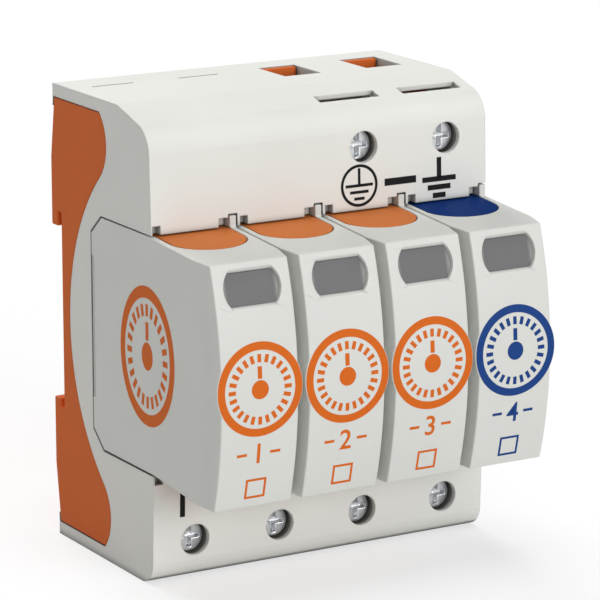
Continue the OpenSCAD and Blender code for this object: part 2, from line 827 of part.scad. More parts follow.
// Joins the upper sockets of the line poles to the lower socket and terminal of the last pole
module neutral_bar() {
    cross_top = upper_blade_z - blade_h / 2 + eps;
    cross_h = 4;
    drop_x = pole_x(spark_pole) - bar_w / 2 - drop_gap - drop_w;
    color(copper) union() {
        line_contact(spark_pole);
        for (i = line_poles) blade_socket(i, upper_blade_z);
        block(
            [pole_x(1) - bar_w / 2, riser_front, cross_top - cross_h],
            [drop_x + drop_w, riser_back, cross_top]
        );
        block(
            [drop_x, riser_front, lower_blade_z - blade_h / 2],
            [drop_x + drop_w, riser_back, cross_top]
        );
        block(
            [drop_x, riser_front, lower_blade_z - blade_h / 2],
            [pole_x(spark_pole), riser_back, lower_blade_z]
        );
    }
}

// Strip that joins the two earth terminals through the partition between them
module earth_link(room = 0) {
    z0 = strip_z(1);
    link_h = 3.6;
    block(
        [pole_x(earth_poles[0]), bar_front - room, z0 - room],
        [pole_x(earth_poles[1]), bar_back + room, z0 + link_h + room]
    );
}

module earth_bar() {
    color(copper) union() {
        for (i = earth_poles) terminal_bar(i, 1);
        terminal_riser(spark_pole, 1);
        blade_socket(spark_pole, upper_blade_z);
        earth_link();
    }
}

// Plugs

module plug_side(d = 0) {
    falls = [top_fall, bottom_fall];
    polygon(plug_points(plug_rear, plug_bottom, plug_top, falls, -nose_depth - 1, d));
}

// Turned front of a plug about the bow's axis, with bevelled shoulders, shrunk by d
module bow(half, d = 0, bevelled = true) {
    run = bevelled ? bevel_d : 0;
    narrow = bevelled ? bevel_w : 0;
    translate([0, bow_y, bow_z]) rotate([0, 90, 0]) rotate_extrude($fn = 180) polygon([
        [0, -half], [bow_r - run - d, -half], [bow_r - d, -half + narrow],
        [bow_r - d, half - narrow], [bow_r - run - d, half], [0, half]
    ]);
}

module plug_outer() {
    intersection() {
        side_prism(plug_w) plug_side();
        union() {
            bow(plug_w / 2);
            intersection() {
                bow(plug_w / 2, bevelled = false);
                y_rod(boss_r, -nose_depth - 1, -nose_depth + 2 * bevel_d, 0, boss_z);
            }
        }
    }
}

// Tongue with a round front end, cut right through top and bottom
module pad_prism(r) {
    y_end = -pad_reach + pad_r;
    translate([0, y_end, -far / 2]) cylinder(r = r, h = far);
    block([-r, y_end, -far / 2], [r, far, far / 2]);
}

// Places a shape at the window, with its own -Y square to the bowed front
module at_window() {
    translate([0, bow_y, bow_z]) rotate([-window_tilt, 0, 0]) translate([0, -bow_r, 0]) children();
}

// Round window with flat top and bottom edges
module window_prism(grow) {
    reach = 2 * front_wall;
    half_h = window_h / 2 + grow;
    at_window() intersection() {
        y_rod(window_r + grow, -reach, reach, 0, 0);
        block([-window_r - 1, -reach, -half_h], [window_r + 1, reach, half_h]);
    }
}

// Bevels that lead from the front down to the lens
module window_dish() {
    rise = window_bevel / lens_recess;
    half_h = window_h / 2;
    at_window() intersection() {
        y_rod(window_r, -1, lens_recess, 0, 0);
        side_prism(3 * window_r) polygon([
            [lens_recess, -half_h], [-1, -half_h - window_bevel - rise],
            [-1, half_h + window_bevel + rise], [lens_recess, half_h]
        ]);
    }
}

// Guides behind the status flag, over its whole travel
module flag_ribs() {
    rib = [1.8, 1];
    rib_y = flag_front + flag_t + flag_room / 2;
    rib_z = flag_top - flag_h - flag_travel;
    for (s = sides)
        translate([s * (cavity_w / 2 - rib[0] / 2 + eps), rib_y + rib[1] / 2, (rib_z + flag_top) / 2])
            cube([rib[0], rib[1], flag_top - rib_z], center = true);
}

module plug_shell(i) {
    line_bottom = boss_z + line_rise - line_l / 2;
    color(grey) translate([pole_x(i), 0, 0]) difference() {
        union() {
            difference() {
                plug_outer();
                intersection() {
                    side_prism(cavity_w) plug_side(lid_wall);
                    bow(cavity_w / 2 + eps, front_wall, false);
                }
                side_prism(cavity_w) difference() {
                    plug_side(-eps);
                    translate([-far, -far]) square([far + plug_rear - corner_y, 2 * far]);
                }
            }
            intersection() {
                flag_ribs();
                side_prism(plug_w) plug_side(lid_wall / 2);
            }
            block(
                [plug_w / 2 - tab_w, -shoulder_depth, plug_top - lid_wall],
                [plug_w / 2, -shoulder_depth + tab_l, plug_top + tab_h]
            );
        }
        intersection() {
            pad_prism(cavity_w / 2);
            difference() {
                side_prism(plug_w) plug_side(-eps);
                side_prism(plug_w + 1) plug_side(lid_wall + eps);
            }
        }
        window_prism(0);
        window_dish();
        block(
            [-plug_w / 2 - eps, plug_rear - line_inset - line_w, line_bottom],
            [-plug_w / 2 + line_d, plug_rear - line_inset, line_bottom + line_l]
        );
    }
}

// Rear cover of a plug with its two pads; they lie flush in the shell
module plug_tray(i) {
    color(plug_colour(i)) translate([pole_x(i), 0, 0]) difference() {
        intersection() {
            pad_prism(pad_r);
            difference() {
                side_prism(2 * pad_r + 1) plug_side();
                side_prism(2 * pad_r + 2) plug_side(lid_wall);
            }
        }
        for (z = [upper_blade_z, lower_blade_z])
            block(
                [-blade_t / 2 - leaf_gap, -far, z - blade_h / 2 - leaf_gap],
                [blade_t / 2 + leaf_gap, far, z + blade_h / 2 + leaf_gap]
            );
    }
}

// Stepped lens: its flange lies behind the front wall
module window_lens(i) {
    play = 0.08;
    body_back = lens_recess + lens_t;
    color(smoke) translate([pole_x(i), 0, 0]) {
        intersection() {
            window_prism(-play);
            difference() {
                bow(cavity_w / 2, lens_recess, false);
                bow(plug_w, body_back + seat_gap, false);
            }
        }
        intersection() {
            window_prism(flange_w);
            difference() {
                bow(cavity_w / 2, body_back + seat_gap / 2, false);
                bow(plug_w, lens_back, false);
            }
        }
    }
}

module status_flag(i) {
    rim = [2, 0.5, 1];
    flag_bottom = flag_top - flag_h;
    color("#4f9a57") translate([pole_x(i), 0, 0]) difference() {
        block([-flag_half, flag_front, flag_bottom], [flag_half, flag_front + flag_t, flag_top]);
        block(
            [-flag_half + rim[0], flag_front + flag_t - rim[1], flag_bottom + rim[2]],
            [flag_half - rim[0], far, flag_top - rim[2]]
        );
    }
}

// Two blades: the upper one runs on as the disconnector strip above the protective element
module plug_blades(i) {
    strip_w = 6;
    strip_t = 0.6;
    strip_end = 4;
    root = element_rear + part_gap;
    strip_bottom = element_top + part_gap;
    color(copper) translate([pole_x(i), 0, 0]) {
        for (z = [upper_blade_z, lower_blade_z])
            block(
                [-blade_t / 2, root, z - blade_h / 2],
                [blade_t / 2, blade_tip, z + blade_h / 2]
            );
        block(
            [-strip_w / 2, root, lower_blade_z - blade_h / 2],
            [strip_w / 2, root + strip_t, lower_blade_z + blade_h / 2]
        );
        block(
            [-strip_w / 2, element_rear - element_l + strip_end, strip_bottom],
            [strip_w / 2, root + strip_t, strip_bottom + strip_t]
        );
    }
}

// Coated varistor block with rounded upright edges
module varistor(i) {
    half = cavity_w / 2 - 3.5 * part_gap;
    edge_r = 2;
    front = element_rear - element_l;
    h = element_top - element_bottom;
    color("#3f4750") translate([pole_x(i), 0, element_bottom]) {
        block([-half, front + edge_r, 0], [half, element_rear - edge_r, h]);
        block([-half + edge_r, front, 0], [half - edge_r, element_rear, h]);
        for (x = sides, y = [element_rear - edge_r, front + edge_r])
            translate([x * (half - edge_r), y, 0]) cylinder(r = edge_r, h = h);
    }
}

// Gas-filled tube: ceramic barrel between two metal caps, standing on the plug's floor
module spark_gap() {
    cap_h = 5;
    cap_r = cavity_w / 2 - 3 * part_gap;
    barrel_r = cap_r - 0.5;
    h = element_top - element_bottom;
    place = [pole_x(spark_pole), element_rear - cap_r, element_bottom];
    color("#c8c4ba") translate(place) rotate_extrude() polygon([
        [0, 0], [cap_r, 0], [cap_r, cap_h], [barrel_r, cap_h], [barrel_r, h - cap_h],
        [cap_r, h - cap_h], [cap_r, h], [0, h]
    ]);
}

base_housing();
rail_carrier();
rail_latch(-1);  // rail_latch_left
rail_latch(1);  // rail_latch_right
latch_spring(-1);  // latch_spring_left
latch_spring(1);  // latch_spring_right
neutral_bar();
earth_bar();
spark_gap();
for (i = concat(poles, upper_screws)) {
    terminal_screw(i);
    clamp_cage(i);
}
for (i = line_poles) {
    line_contact(i);
    varistor(i);
}
for (i = poles) {
    plug_shell(i);
    plug_tray(i);
    window_lens(i);
    status_flag(i);
    plug_blades(i);
}
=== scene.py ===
"""Looks of a plug-in surge arrester for a 35 mm DIN rail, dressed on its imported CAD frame."""

import logging
import math
from collections.abc import Callable, Iterable
from dataclasses import dataclass, field
from enum import Enum

import bmesh
import bpy
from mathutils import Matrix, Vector


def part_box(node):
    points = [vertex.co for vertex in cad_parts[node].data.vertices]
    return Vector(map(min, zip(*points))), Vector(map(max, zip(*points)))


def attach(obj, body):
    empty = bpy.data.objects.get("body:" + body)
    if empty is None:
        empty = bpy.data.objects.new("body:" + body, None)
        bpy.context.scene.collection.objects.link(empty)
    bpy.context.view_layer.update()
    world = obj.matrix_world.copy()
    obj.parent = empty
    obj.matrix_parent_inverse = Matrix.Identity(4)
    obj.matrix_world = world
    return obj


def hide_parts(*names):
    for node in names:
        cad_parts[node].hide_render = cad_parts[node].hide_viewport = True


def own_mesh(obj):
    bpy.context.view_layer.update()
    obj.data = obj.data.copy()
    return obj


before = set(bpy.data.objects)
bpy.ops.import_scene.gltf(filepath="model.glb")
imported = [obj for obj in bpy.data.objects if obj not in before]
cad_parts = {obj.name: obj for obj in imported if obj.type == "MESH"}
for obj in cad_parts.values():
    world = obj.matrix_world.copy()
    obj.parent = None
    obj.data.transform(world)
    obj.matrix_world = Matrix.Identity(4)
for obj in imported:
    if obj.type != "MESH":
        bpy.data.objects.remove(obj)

MM = 0.001
LOG = logging.getLogger("surge_arrester")
# Point of a surface for a print's (u, v) and a height above it, all in mm
Place = Callable[[float, float, float], Vector]


class PlugKind(Enum):
    """What a plug protects with, which also gives its colour."""

    VARISTOR = "varistor"
    SPARK_GAP = "spark_gap"


class Side(Enum):
    """Upper or lower terminal block."""

    UPPER = 1
    LOWER = -1


def linear(hex_colour: str) -> tuple[float, float, float, float]:
    """Turns an sRGB hex value into the linear colour that shaders take.

    Args:
        hex_colour: Colour as "#rrggbb".

    Returns:
        Linear red, green, blue and an alpha of 1.
    """
    parts = [int(hex_colour[i:i + 2], 16) / 255 for i in (1, 3, 5)]
    return (*[c / 12.92 if c <= 0.04045 else ((c + 0.055) / 1.055) ** 2.4 for c in parts], 1.0)


def per_metre(size_mm: float) -> float:
    """Scale of a texture whose features are size_mm across, on coordinates in metres."""
    return 1 / (size_mm * MM)


def add_node(
    tree: bpy.types.NodeTree, kind: str, inputs: dict | None = None, **settings: object
) -> bpy.types.Node:
    """Adds one node with its settings, values and links.

    Args:
        tree: Tree that takes the node.
        kind: The node's type name.
        inputs: Socket names or numbers, each with a value or with an output to link from.
        settings: Attributes of the node.

    Returns:
        The new node.
    """
    node = tree.nodes.new(kind)
    for key, value in settings.items():
        setattr(node, key, value)
    for key, value in (inputs or {}).items():
        if isinstance(value, bpy.types.NodeSocket):
            tree.links.new(value, node.inputs[key])
        else:
            node.inputs[key].default_value = value
    return node


def shades(hex_colour: str, dark: float, light: float) -> dict[int, tuple[float, ...]]:
    """Gives two shades of a colour, as the colour inputs of a mix node.

    Args:
        hex_colour: Colour as "#rrggbb".
        dark: Factor of the darker shade.
        light: Factor of the lighter shade.

    Returns:
        The mix node's two inputs with their values.
    """
    base = linear(hex_colour)[:3]
    return {
        slot: (*[min(1.0, c * share) for c in base], 1.0) for slot, share in ((6, dark), (7, light))
    }


def blank_material(name: str) -> tuple[bpy.types.Material, bpy.types.NodeTree]:
    """Makes a material with an empty tree.

    Args:
        name: The material's name.

    Returns:
        The material and its node tree.
    """
    material = bpy.data.materials.new(name)
    material.use_nodes = True
    material.node_tree.nodes.clear()
    return material, material.node_tree


@dataclass(frozen=True)
class MouldedPlastic:
    """Injection-moulded engineering plastic with the fine sparked grain of its mould."""

    name: str
    colour: str
    roughness: float = 0.46
    ior: float = 1.53
    # Real sparked grain is about 0.1 mm; drawn coarser, so that it shows
    grain_mm: float = 0.3
    grain_depth_mm: float = 0.004
    grain_gloss: float = 0.06
    flow_mm: float = 16.0
    flow_share: float = 0.035
    edge_mm: float = 0.0
    # Reach of the painted shade that darkens the colour in narrow recesses; 0 for none
    crevice_mm: float = 0.0
    gloss: float = 0.25

    def make(self) -> bpy.types.Material:
        """Builds the material: slow colour drift from the melt's flow, a satin grain, and, where
        asked, painted shade in narrow recesses.

        Returns:
            The material.
        """
        material, tree = blank_material(self.name)
        spot = add_node(tree, "ShaderNodeTexCoord").outputs["Object"]
        flow = add_node(tree, "ShaderNodeTexNoise", {
            "Vector": spot, "Scale": per_metre(self.flow_mm), "Detail": 2.0, "Roughness": 0.45,
        })
        grain = add_node(tree, "ShaderNodeTexNoise", {
            "Vector": spot, "Scale": per_metre(self.grain_mm), "Detail": 3.0, "Roughness": 0.6,
        })
        tint = add_node(tree, "ShaderNodeMix", {
            "Factor": flow.outputs["Fac"],
            **shades(self.colour, 1 - self.flow_share, 1 + self.flow_share),
        }, data_type="RGBA")
        satin = add_node(tree, "ShaderNodeMapRange", {
            "Value": grain.outputs["Fac"], "From Min": 0.3, "From Max": 0.7,
            "To Min": self.roughness - self.grain_gloss, "To Max": self.roughness + self.grain_gloss,
        })
        bump = add_node(tree, "ShaderNodeBump", {
            "Height": grain.outputs["Fac"], "Strength": 0.35, "Distance": self.grain_depth_mm * MM,
        })
        if self.edge_mm > 0:
            edge = add_node(tree, "ShaderNodeBevel", {"Radius": self.edge_mm * MM}, samples=6)
            tree.links.new(edge.outputs["Normal"], bump.inputs["Normal"])
        colour = tint.outputs[2]
        # Painted shade: ambient occlusion darkens the colour in narrow recesses and in gaps between
        # parts
        if self.crevice_mm > 0:
            painted_recess_shade = add_node(tree, "ShaderNodeAmbientOcclusion", {
                "Color": colour, "Distance": self.crevice_mm * MM,
            }, samples=8)
            colour = painted_recess_shade.outputs["Color"]
        shader = add_node(tree, "ShaderNodeBsdfPrincipled", {
            "Base Color": colour, "Roughness": satin.outputs["Result"],
            "Normal": bump.outputs["Normal"], "IOR": self.ior, "Specular IOR Level": self.gloss,
        })
        add_node(tree, "ShaderNodeOutputMaterial", {"Surface": shader.outputs["BSDF"]})
        return material


@dataclass(frozen=True)
class SmokedWindow:
    """Smoked polycarbonate: a smooth moulded pane, dark enough to look solid from outside."""

    name: str
    colour: str
    rim_colour: str
    roughness: float = 0.16
    ior: float = 1.58
    gloss: float = 0.12
    haze_mm: float = 5.0
    haze_share: float = 0.06
    pitch_mm: float = 17.5
    half_mm: float = 5.5
    rim_mm: float = 0.9

    def make(self) -> bpy.types.Material:
        """Builds the material: an even grey with a faint haze, paler at the pane's thin round ends.

        Returns:
            The material.
        """
        material, tree = blank_material(self.name)
        spot = add_node(tree, "ShaderNodeTexCoord").outputs["Object"]
        haze = add_node(tree, "ShaderNodeTexNoise", {
            "Vector": spot, "Scale": per_metre(self.haze_mm), "Detail": 1.0,
        })
        tint = add_node(tree, "ShaderNodeMix", {
            "Factor": haze.outputs["Fac"],
            **shades(self.colour, 1 - self.haze_share, 1 + self.haze_share),
        }, data_type="RGBA")
        along = add_node(tree, "ShaderNodeSeparateXYZ", {"Vector": spot})
        pole = add_node(tree, "ShaderNodeMath", {
            0: along.outputs["X"], 1: per_metre(self.pitch_mm),
        }, operation="MULTIPLY")
        share = add_node(tree, "ShaderNodeMath", {0: pole.outputs["Value"]}, operation="FRACT")
        aside = add_node(tree, "ShaderNodeMath", {
            0: share.outputs["Value"], 1: 0.5,
        }, operation="SUBTRACT")
        away = add_node(tree, "ShaderNodeMath", {0: aside.outputs["Value"]}, operation="ABSOLUTE")
        rim = add_node(tree, "ShaderNodeMapRange", {
            "Value": away.outputs["Value"],
            "From Min": (self.half_mm - self.rim_mm) / self.pitch_mm,
            "From Max": self.half_mm / self.pitch_mm,
        })
        ends = add_node(tree, "ShaderNodeMix", {
            "Factor": rim.outputs["Result"], 6: tint.outputs[2], 7: linear(self.rim_colour),
        }, data_type="RGBA")
        shader = add_node(tree, "ShaderNodeBsdfPrincipled", {
            "Base Color": ends.outputs[2], "Roughness": self.roughness, "IOR": self.ior,
            "Specular IOR Level": self.gloss,
        })
        add_node(tree, "ShaderNodeOutputMaterial", {"Surface": shader.outputs["BSDF"]})
        return material


@dataclass(frozen=True)
class DrawnMetal:
    """Metal with fine drawing or turning marks along one axis."""

    name: str
    colour: str
    roughness: float = 0.3
    # Real drawing marks are below 0.1 mm; drawn coarser, so that they show
    mark_mm: float = 0.25
    stretch: tuple[float, float, float] = (1.0, 0.12, 1.0)
    mark_depth_mm: float = 0.003
    mark_gloss: tuple[float, float] = (-0.08, 0.1)
    stain_mm: float = 3.0
    stain: tuple[float, float] = (0.88, 1.08)

    def make(self) -> bpy.types.Material:
        """Builds the material: streaks in gloss and height, and a slight stain in the colour.

        Returns:
            The material.
        """
        material, tree = blank_material(self.name)
        spot = add_node(tree, "ShaderNodeTexCoord").outputs["Object"]
        drawn = add_node(tree, "ShaderNodeMapping", {"Vector": spot, "Scale": self.stretch})
        marks = add_node(tree, "ShaderNodeTexNoise", {
            "Vector": drawn.outputs["Vector"], "Scale": per_metre(self.mark_mm), "Detail": 4.0,
        })
        stain = add_node(tree, "ShaderNodeTexNoise", {
            "Vector": spot, "Scale": per_metre(self.stain_mm), "Detail": 2.0,
        })
        tint = add_node(tree, "ShaderNodeMix", {
            "Factor": stain.outputs["Fac"], **shades(self.colour, *self.stain),
        }, data_type="RGBA")
        gloss = add_node(tree, "ShaderNodeMapRange", {
            "Value": marks.outputs["Fac"], "From Min": 0.3, "From Max": 0.7,
            "To Min": self.roughness + self.mark_gloss[0],
            "To Max": self.roughness + self.mark_gloss[1],
        })
        bump = add_node(tree, "ShaderNodeBump", {
            "Height": marks.outputs["Fac"], "Strength": 0.4, "Distance": self.mark_depth_mm * MM,
        })
        shader = add_node(tree, "ShaderNodeBsdfPrincipled", {
            "Base Color": tint.outputs[2], "Roughness": gloss.outputs["Result"],
            "Normal": bump.outputs["Normal"], "Metallic": 1.0,
        })
        add_node(tree, "ShaderNodeOutputMaterial", {"Surface": shader.outputs["BSDF"]})
        return material


@dataclass(frozen=True)
class PadInk:
    """Pad-printed ink: a thin film that dries a little unevenly and follows the plastic's grain."""

    name: str
    colour: str
    roughness: float = 0.5
    ior: float = 1.5
    film_mm: float = 0.5
    film_share: float = 0.07
    gloss: float = 0.1

    def make(self) -> bpy.types.Material:
        """Builds the material: a dense colour with slight thin spots.

        Returns:
            The material.
        """
        material, tree = blank_material(self.name)
        spot = add_node(tree, "ShaderNodeTexCoord").outputs["Object"]
        film = add_node(tree, "ShaderNodeTexNoise", {
            "Vector": spot, "Scale": per_metre(self.film_mm), "Detail": 2.0,
        })
        tint = add_node(tree, "ShaderNodeMix", {
            "Factor": film.outputs["Fac"],
            **shades(self.colour, 1 - self.film_share, 1 + self.film_share),
        }, data_type="RGBA")
        shader = add_node(tree, "ShaderNodeBsdfPrincipled", {
            "Base Color": tint.outputs[2], "Roughness": self.roughness, "IOR": self.ior,
            "Specular IOR Level": self.gloss,
        })
        add_node(tree, "ShaderNodeOutputMaterial", {"Surface": shader.outputs["BSDF"]})
        return material


class Finishes:
    """Every material of the object, made once."""

    def __init__(self) -> None:
        """Makes the materials."""
        # Light grey polyamide: matt, slightly warm, soft light on the rounded edges, painted shade in
        # its narrow recesses
        self.base_grey = MouldedPlastic(
            "light_grey_polyamide", "#e0e0db", 0.7, edge_mm=0.45, crevice_mm=1.5, gloss=0.1,
        ).make()
        # The plugs' polycarbonate blend: the same grey, a touch cooler and smoother
        self.plug_grey = MouldedPlastic(
            "light_grey_polycarbonate", "#d5d6d1", 0.42, 1.58, 0.25, edge_mm=0.3,
        ).make()
        # Orange polyamide of carrier and latches: strong even colour, satin
        self.orange = MouldedPlastic("orange_polyamide", "#d2682f", 0.5, gloss=0.06).make()
        # Orange polycarbonate of the pads: a little paler than the carrier, nearly matt
        self.pad_orange = MouldedPlastic(
            "orange_polycarbonate", "#cb753d", 0.5, 1.58, 0.25, gloss=0.03,
        ).make()
        # Blue polycarbonate of the last pad: deep, nearly matt
        self.blue = MouldedPlastic(
            "blue_polycarbonate", "#10316f", 0.5, 1.58, 0.25, gloss=0.015,
        ).make()
        # Smoked pane: mid grey, smooth, paler at its round ends
        self.window = SmokedWindow("smoked_polycarbonate", "#737374", "#a6a7a3", 0.3).make()
        # Green acetal of the flags: waxy and even
        self.flag = MouldedPlastic("green_acetal", "#4f9a57", 0.4, 1.48).make()
        # Zinc plated steel: bright, slightly blue, fine turning marks
        self.screw = DrawnMetal("zinc_plated_steel", "#e6e8ea", 0.36, 0.2, (1.0, 1.0, 0.1)).make()
        # Galvanised strip of the cages: grey, streaked along the strip
        self.cage = DrawnMetal("galvanised_steel_strip", "#b5b6b3", 0.36).make()
        # Spring wire: darker steel with sharp lights
        self.spring = DrawnMetal("spring_steel_wire", "#8f9296", 0.28, 0.1).make()
        # Rolled copper of bars and blades: warm, with rolling marks
        self.copper = DrawnMetal("rolled_copper", "#c98a62", 0.3).make()
        # Epoxy powder coat on the varistor blocks: dark slate, slightly orange-peeled
        self.coating = MouldedPlastic("epoxy_powder_coating", "#3f4750", 0.38, 1.55, 0.6, 0.01).make()
        # Glazed alumina of the gas tube: creamy white and glossy
        self.ceramic = MouldedPlastic("glazed_alumina", "#d8d4ca", 0.2, 1.7, 0.8, 0.002).make()
        # Pad inks of the marks: dense and matt
        self.orange_ink = PadInk("orange_pad_ink", "#d2661e").make()
        self.blue_ink = PadInk("blue_pad_ink", "#1c4080").make()
        self.black_ink = PadInk("black_pad_ink", "#1b1b1c").make()


def link(name: str, mesh: bpy.types.Mesh) -> bpy.types.Object:
    """Makes a mesh an object of the scene, at the origin.

    Args:
        name: The object's name.
        mesh: Its mesh.

    Returns:
        The object.
    """
    piece = bpy.data.objects.new(name, mesh)
    bpy.context.scene.collection.objects.link(piece)
    return piece


def settle(piece: bpy.types.Object) -> bpy.types.Object:
    """Turns a piece's modifiers into a plain mesh.

    Args:
        piece: Object with live modifiers.

    Returns:
        The same object, without modifiers.
    """
    graph = bpy.context.evaluated_depsgraph_get()
    made = bpy.data.meshes.new_from_object(piece.evaluated_get(graph), depsgraph=graph)
    made.name = piece.name
    piece.modifiers.clear()
    piece.data = made
    return piece


def dress(node: str, finish: bpy.types.Material) -> None:
    """Gives a CAD node its finish and keeps its shape.

    Args:
        node: The CAD node.
        finish: Its material.
    """
    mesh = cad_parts[node].data
    mesh.materials.clear()
    mesh.materials.append(finish)


def soften(
    node: str, body: str, finish: bpy.types.Material, width_mm: float, pierced: bool = False
) -> bpy.types.Object:
    """Makes a copy of a CAD node with its edges rounded as a mould rounds them.

    Args:
        node: CAD node that the copy stands for.
        body: CAD body that it rides on.
        finish: Material of the copy.
        width_mm: Width of the rounding.
        pierced: Splits the faces into triangles first, as a plate with openings in it needs.

    Returns:
        The finished piece.
    """
    weld_mm = 0.002
    flat_deg, edge_deg, sharp_deg = 0.5, 30, 44
    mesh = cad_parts[node].data.copy()
    for name in ("custom_normal", "sharp_edge", "sharp_face"):
        if name in mesh.attributes:
            mesh.attributes.remove(mesh.attributes[name])
    shape = bmesh.new()
    shape.from_mesh(mesh)
    bmesh.ops.remove_doubles(shape, verts=shape.verts, dist=weld_mm * MM)
    bmesh.ops.dissolve_limit(
        shape, angle_limit=math.radians(flat_deg), use_dissolve_boundaries=False,
        verts=shape.verts, edges=shape.edges,
    )
    if pierced:
        bmesh.ops.triangulate(shape, faces=shape.faces)
    for face in shape.faces:
        face.smooth = True
    shape.to_mesh(mesh)
    shape.free()
    mesh.materials.clear()
    mesh.materials.append(finish)
    piece = link(f"{node}_moulded", mesh)
    bevel = piece.modifiers.new("rounded edges", "BEVEL")
    bevel.width = width_mm * MM
    bevel.segments = 2
    bevel.limit_method = "ANGLE"
    bevel.angle_limit = math.radians(edge_deg)
    bevel.use_clamp_overlap = False
    bevel.miter_outer = "MITER_ARC"
    settle(piece).data.set_sharp_from_angle(angle=math.radians(sharp_deg))
    even = piece.modifiers.new("even normals", "WEIGHTED_NORMAL")
    even.keep_sharp = True
    settle(piece)
    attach(piece, body)
    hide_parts(node)
    LOG.info("%s stands for %s, %d faces", piece.name, node, len(piece.data.polygons))
    return piece


def grow(tree: bpy.types.NodeTree, name: str, values: dict[str, object]) -> bpy.types.Mesh:
    """Runs a geometry tree once and keeps the result as a plain mesh.

    Args:
        tree: The geometry tree.
        name: Name of the mesh.
        values: The tree's named inputs.

    Returns:
        The mesh.
    """
    carrier = link(name, bpy.data.meshes.new(f"{name}_seed"))
    modifier = carrier.modifiers.new("grow", "NODES")
    modifier.node_group = tree
    for item in tree.interface.items_tree:
        if item.item_type == "SOCKET" and item.in_out == "INPUT" and item.name in values:
            modifier[item.identifier] = values[item.name]
    settle(carrier)
    mesh = carrier.data
    bpy.data.objects.remove(carrier)
    return mesh


def new_tree(name: str, sockets: dict[str, str]) -> tuple[bpy.types.NodeTree, bpy.types.Node]:
    """Starts a geometry tree with named inputs.

    Args:
        name: Name of the tree.
        sockets: Input names with their socket types.

    Returns:
        The tree and its input node.
    """
    tree = bpy.data.node_groups.new(name, "GeometryNodeTree")
    for label, kind in sockets.items():
        tree.interface.new_socket(label, in_out="INPUT", socket_type=kind)
    tree.interface.new_socket("Geometry", in_out="OUTPUT", socket_type="NodeSocketGeometry")
    return tree, add_node(tree, "NodeGroupInput")


def tick_tree() -> bpy.types.NodeTree:
    """Makes the geometry tree for a ring of flat ticks, as on a dial.

    Returns:
        The tree.
    """
    tree, given = new_tree("dial_ticks", {
        "Count": "NodeSocketInt", "Radius": "NodeSocketFloat", "Length": "NodeSocketFloat",
        "Width": "NodeSocketFloat", "Ink": "NodeSocketMaterial",
    })
    ring = add_node(tree, "GeometryNodeMeshCircle", {
        "Vertices": given.outputs["Count"], "Radius": given.outputs["Radius"],
    })
    tick = add_node(tree, "GeometryNodeMeshGrid", {
        "Size X": given.outputs["Length"], "Size Y": given.outputs["Width"],
        "Vertices X": 3, "Vertices Y": 2,
    })
    number = add_node(tree, "GeometryNodeInputIndex")
    step = add_node(tree, "ShaderNodeMath", {
        0: math.tau, 1: given.outputs["Count"],
    }, operation="DIVIDE")
    turn = add_node(tree, "ShaderNodeMath", {
        0: number.outputs["Index"], 1: step.outputs["Value"],
    }, operation="MULTIPLY")
    about = add_node(tree, "ShaderNodeCombineXYZ", {"Z": turn.outputs["Value"]})
    ticks = add_node(tree, "GeometryNodeInstanceOnPoints", {
        "Points": ring.outputs["Mesh"], "Instance": tick.outputs["Mesh"],
        "Rotation": about.outputs["Vector"],
    })
    real = add_node(tree, "GeometryNodeRealizeInstances", {"Geometry": ticks.outputs["Instances"]})
    inked = add_node(tree, "GeometryNodeSetMaterial", {
        "Geometry": real.outputs["Geometry"], "Material": given.outputs["Ink"],
    })
    add_node(tree, "NodeGroupOutput", {"Geometry": inked.outputs["Geometry"]})
    return tree


def coil_tree() -> bpy.types.NodeTree:
    """Makes the geometry tree for round wire wound along +Z.

    Returns:
        The tree.
    """
    tree, given = new_tree("wire_coil", {
        "Turns": "NodeSocketFloat", "Radius": "NodeSocketFloat", "Height": "NodeSocketFloat",
        "Wire radius": "NodeSocketFloat", "Wire": "NodeSocketMaterial",
    })
    spiral = add_node(tree, "GeometryNodeCurveSpiral", {
        "Resolution": 28, "Rotations": given.outputs["Turns"],
        "Start Radius": given.outputs["Radius"], "End Radius": given.outputs["Radius"],
        "Height": given.outputs["Height"],
    })
    section = add_node(tree, "GeometryNodeCurvePrimitiveCircle", {
        "Resolution": 12, "Radius": given.outputs["Wire radius"],
    })
    wire = add_node(tree, "GeometryNodeCurveToMesh", {
        "Curve": spiral.outputs["Curve"], "Profile Curve": section.outputs["Curve"],
        "Fill Caps": True,
    })
    smooth = add_node(tree, "GeometryNodeSetShadeSmooth", {"Geometry": wire.outputs["Mesh"]})
    real = add_node(tree, "GeometryNodeRealizeInstances", {"Geometry": smooth.outputs["Geometry"]})
    steel = add_node(tree, "GeometryNodeSetMaterial", {
        "Geometry": real.outputs["Geometry"], "Material": given.outputs["Wire"],
    })
    add_node(tree, "NodeGroupOutput", {"Geometry": steel.outputs["Geometry"]})
    return tree


